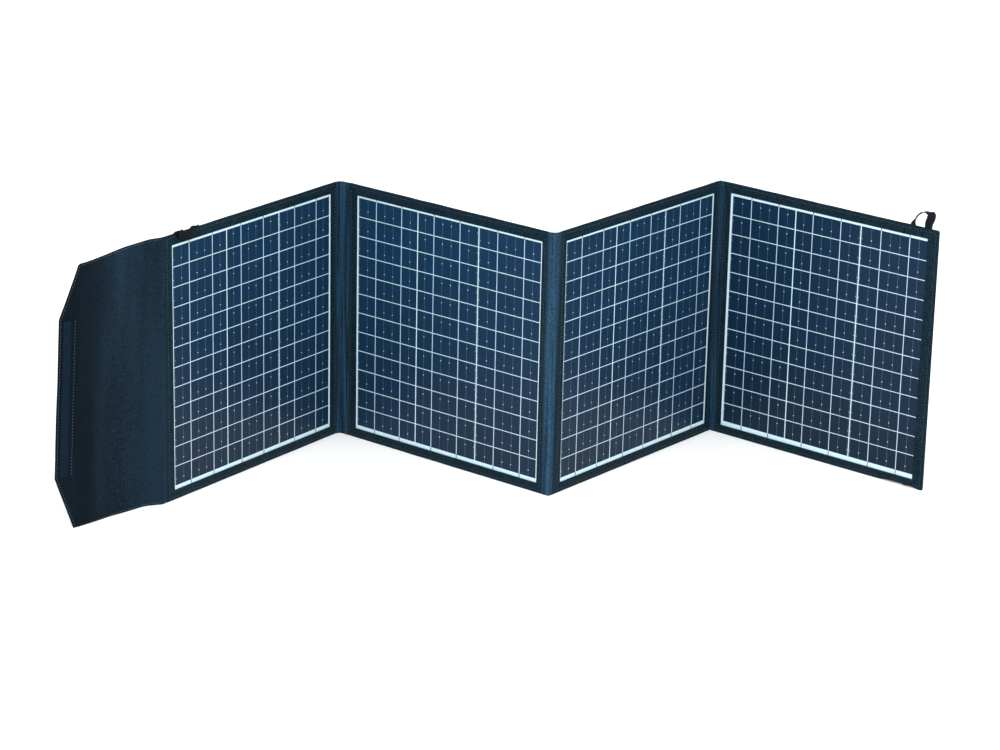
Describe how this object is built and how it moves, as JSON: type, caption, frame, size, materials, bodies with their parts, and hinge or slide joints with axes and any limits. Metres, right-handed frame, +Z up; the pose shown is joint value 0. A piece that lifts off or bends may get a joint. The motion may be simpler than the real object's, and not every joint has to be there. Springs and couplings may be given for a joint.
{
  "type": "folding solar panel",
  "caption": "Zigzag-folding fabric solar panel with framed cell laminates, soft spines between sections, corner hang loops and a wrap-round closing flap.",
  "frame": {"origin": "centre of the object's box at the level of the surface that it stands on, in the zigzag rest pose", "axes": "+X to the right along the row of panels as seen from the cells' side, -Y towards that side, +Z up"},
  "size_m": [1.4216, 0.5642, 0.488],
  "materials": {
    "fabric": "dark blue-black woven polyester with a fine weave",
    "webbing": "dark woven webbing",
    "hook": "dark hook and loop tape",
    "stiffener": "plain glass-fibre board",
    "backsheet": "white, slightly cool",
    "cell": "dark navy coated silicon",
    "ribbon": "tinned copper ribbon",
    "film": "clear fluoropolymer film, satin",
    "copper": "flat copper conductor",
    "box": "black moulded plastic",
    "screw": "small steel screws",
    "circuit": "green circuit board",
    "terminal": "green terminal block",
    "gland": "black nylon"
  },
  "bodies": {
    "panel_1": {"cable_gland": "gland", "diode_board": "circuit", "flap_inner_strip": "fabric", "hang_loop_bottom_left": "webbing", "hang_loop_top_left": "webbing", "junction_box_base": "box", "junction_box_lid": "box", "junction_box_screws": "screw", "panel_1_back_cover": "fabric", "panel_1_backsheet": "backsheet", "panel_1_bus_ribbons": "ribbon", "panel_1_clear_film": "film", "panel_1_front_cover": "fabric", "panel_1_link_strips_right": "copper", "panel_1_solar_cells": "cell", "panel_1_spine_right": "fabric", "panel_1_stiffener_board": "stiffener", "panel_1_tab_ribbons": "ribbon", "terminal_block": "terminal"},
    "panel_2": {"panel_2_back_cover": "fabric", "panel_2_backsheet": "backsheet", "panel_2_bus_ribbons": "ribbon", "panel_2_clear_film": "film", "panel_2_front_cover": "fabric", "panel_2_link_strips_left": "copper", "panel_2_link_strips_right": "copper", "panel_2_solar_cells": "cell", "panel_2_spine_left": "fabric", "panel_2_spine_right": "fabric", "panel_2_stiffener_board": "stiffener", "panel_2_tab_ribbons": "ribbon"},
    "panel_3": {"panel_3_back_cover": "fabric", "panel_3_backsheet": "backsheet", "panel_3_bus_ribbons": "ribbon", "panel_3_clear_film": "film", "panel_3_front_cover": "fabric", "panel_3_link_strips_left": "copper", "panel_3_link_strips_right": "copper", "panel_3_solar_cells": "cell", "panel_3_spine_left": "fabric", "panel_3_spine_right": "fabric", "panel_3_stiffener_board": "stiffener", "panel_3_tab_ribbons": "ribbon"},
    "panel_4": {"hang_loop_bottom_right": "webbing", "hang_loop_top_right": "webbing", "loop_strip": "hook", "panel_4_back_cover": "fabric", "panel_4_backsheet": "backsheet", "panel_4_bus_ribbons": "ribbon", "panel_4_clear_film": "film", "panel_4_front_cover": "fabric", "panel_4_link_strips_left": "copper", "panel_4_solar_cells": "cell", "panel_4_spine_left": "fabric", "panel_4_stiffener_board": "stiffener", "panel_4_tab_ribbons": "ribbon"},
    "flap_side": {"flap_side": "fabric"},
    "flap_end": {"flap_end": "fabric", "hook_strip": "hook"}
  },
  "joints": [
    {"name": "fold_1_2", "type": "hinge", "parent": "panel_2", "child": "panel_1", "pos_m": [-0.29263, 0.22558, 0], "axis": [0, 0, 1], "range_deg": [-84.5, 88.4]},
    {"name": "fold_2_3", "type": "hinge", "parent": "panel_2", "child": "panel_3", "pos_m": [0.07321, -0.05111, 0], "axis": [0, 0, 1], "range_deg": [-88, 92.01]},
    {"name": "fold_3_4", "type": "hinge", "parent": "panel_3", "child": "panel_4", "pos_m": [0.36329, 0.28008, 0], "axis": [0, 0, -1], "range_deg": [-88.75, 91.26]},
    {"name": "flap_side_fold", "type": "hinge", "parent": "panel_1", "child": "flap_side", "pos_m": [-0.5776, -0.14685, 0], "axis": [0, 0, 1], "range_deg": [-25, 97.4]},
    {"name": "flap_end_fold", "type": "hinge", "parent": "flap_side", "child": "flap_end", "pos_m": [-0.60103, -0.17111, 0], "axis": [0, 0, 1], "range_deg": [-25, 90.01]}
  ],
  "couplings": [
    {"joint": "fold_2_3", "follows": "fold_1_2", "ratio": 1.0407},
    {"joint": "fold_3_4", "follows": "fold_1_2", "ratio": 1.0322},
    {"joint": "flap_end_fold", "follows": "flap_side_fold", "ratio": 0.92402}
  ]
}
